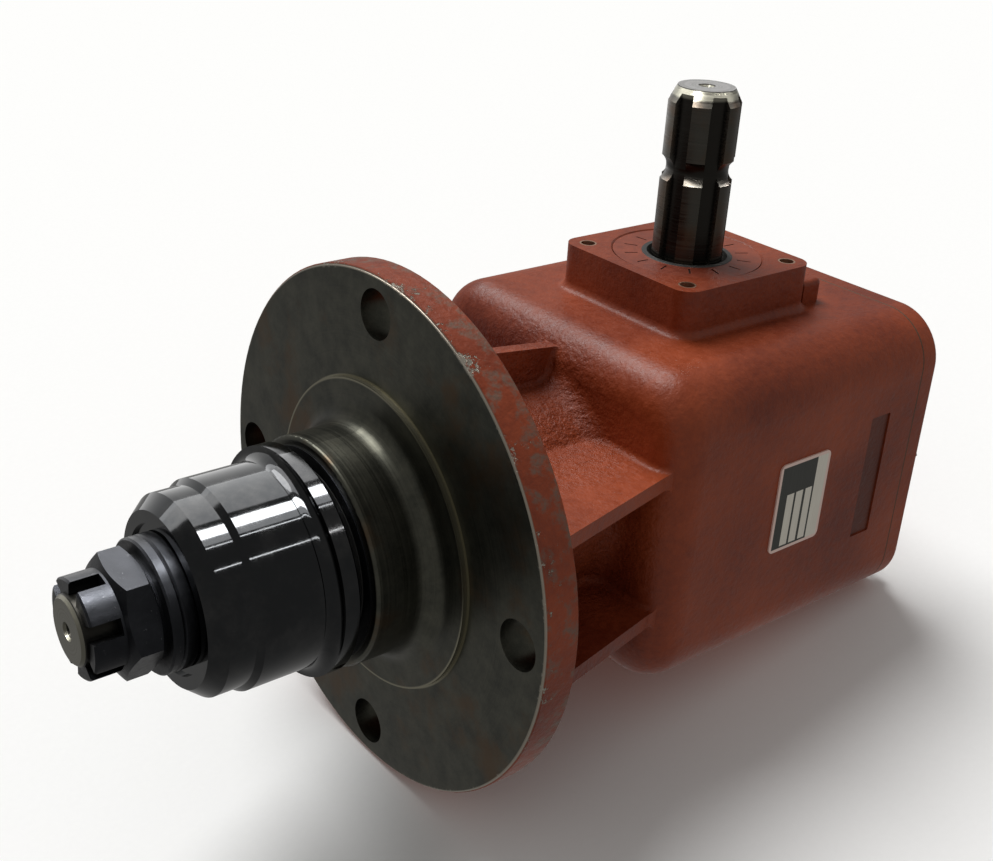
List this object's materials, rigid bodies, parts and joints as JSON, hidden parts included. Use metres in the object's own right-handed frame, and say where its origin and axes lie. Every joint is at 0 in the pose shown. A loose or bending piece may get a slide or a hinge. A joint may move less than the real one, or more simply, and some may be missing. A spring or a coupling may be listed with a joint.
{
  "type": "right angle bevel gearbox",
  "caption": "Right angle bevel gearbox: splined input shaft on top, flanged neck with castle-nutted output hub at the front, flat rear cover.",
  "frame": {"origin": "centre of the mounting flange's front face, on the output shaft's axis", "axes": "-X along the output shaft, out of the flange; +Z along the input shaft, upwards; the input axis stands at x = 0.181 m; the plate is on the -Y side"},
  "size_m": [0.434, 0.24, 0.3007],
  "materials": {
    "painted_casting": "red oxide paint over cast iron, satin; flange front and boss machined bare",
    "painted_seal": "pressed steel seal case, painted over",
    "machined_steel": "machined, lightly oxidised",
    "polished_black_steel": "blackened and polished, gloss",
    "black_oxide_steel": "black oxide, satin",
    "gear_steel": "hardened, ground flanks",
    "bearing_steel": "ground",
    "pressed_steel": "pressed, satin",
    "spring_steel": "phosphated",
    "zinc_steel": "zinc plated",
    "seal_rubber": "matt black",
    "gasket_paper": "oiled gasket paper",
    "washer_aluminium": "soft, satin",
    "plate_aluminium": "printed plate, blank fields"
  },
  "bodies": {
    "housing": {"housing": "painted_casting", "rear_cover": "painted_casting", "cover_gasket": "gasket_paper", "cover_bolts": "zinc_steel", "filler_breather_plug": "zinc_steel", "oil_level_plug": "zinc_steel", "plug_washers": "washer_aluminium", "nameplate": "plate_aluminium", "input_upper_bearing_cup": "bearing_steel", "input_lower_bearing_cup": "bearing_steel", "output_inner_bearing_cup": "bearing_steel", "output_outer_bearing_cup": "bearing_steel", "input_seal_case": "painted_seal", "input_seal_lip": "seal_rubber", "input_seal_spring": "spring_steel", "output_seal_case": "black_oxide_steel", "output_seal_lip": "seal_rubber", "output_seal_spring": "spring_steel", "input_upper_snap_ring": "spring_steel", "input_lower_snap_ring": "spring_steel", "input_upper_shim": "spring_steel", "input_lower_shim": "spring_steel", "input_end_cap": "painted_seal"},
    "input_assembly": {"input_shaft": "machined_steel", "input_bevel_gear": "gear_steel", "input_upper_bearing_cone": "bearing_steel", "input_lower_bearing_cone": "bearing_steel"},
    "output_assembly": {"output_pinion_shaft": "gear_steel", "output_hub": "polished_black_steel", "inner_washer": "black_oxide_steel", "outer_washer": "black_oxide_steel", "castle_nut": "black_oxide_steel", "output_spacer": "gear_steel", "output_shim": "spring_steel", "output_inner_bearing_cone": "bearing_steel", "output_outer_bearing_cone": "bearing_steel"},
    "input_upper_roller_set": {"input_upper_bearing_rollers": "bearing_steel", "input_upper_bearing_cage": "pressed_steel"},
    "input_lower_roller_set": {"input_lower_bearing_rollers": "bearing_steel", "input_lower_bearing_cage": "pressed_steel"},
    "output_inner_roller_set": {"output_inner_bearing_rollers": "bearing_steel", "output_inner_bearing_cage": "pressed_steel"},
    "output_outer_roller_set": {"output_outer_bearing_rollers": "bearing_steel", "output_outer_bearing_cage": "pressed_steel"}
  },
  "joints": [
    {"name": "output_spin", "type": "hinge", "parent": "housing", "child": "output_assembly", "pos_m": [0, 0, 0], "axis": [1, 0, 0], "continuous": true},
    {"name": "input_spin", "type": "hinge", "parent": "housing", "child": "input_assembly", "pos_m": [0.181, 0, 0], "axis": [0, 0, 1], "continuous": true},
    {"name": "output_inner_rollers_spin", "type": "hinge", "parent": "housing", "child": "output_inner_roller_set", "pos_m": [0, 0, 0], "axis": [1, 0, 0], "continuous": true},
    {"name": "output_outer_rollers_spin", "type": "hinge", "parent": "housing", "child": "output_outer_roller_set", "pos_m": [0, 0, 0], "axis": [1, 0, 0], "continuous": true},
    {"name": "input_upper_rollers_spin", "type": "hinge", "parent": "housing", "child": "input_upper_roller_set", "pos_m": [0.181, 0, 0], "axis": [0, 0, 1], "continuous": true},
    {"name": "input_lower_rollers_spin", "type": "hinge", "parent": "housing", "child": "input_lower_roller_set", "pos_m": [0.181, 0, 0], "axis": [0, 0, 1], "continuous": true}
  ],
  "couplings": [
    {"joint": "input_spin", "follows": "output_spin", "ratio": 0.68182},
    {"joint": "output_inner_rollers_spin", "follows": "output_spin", "ratio": 0.43055},
    {"joint": "output_outer_rollers_spin", "follows": "output_spin", "ratio": 0.43055},
    {"joint": "input_upper_rollers_spin", "follows": "output_spin", "ratio": 0.28886},
    {"joint": "input_lower_rollers_spin", "follows": "output_spin", "ratio": 0.28886}
  ]
}
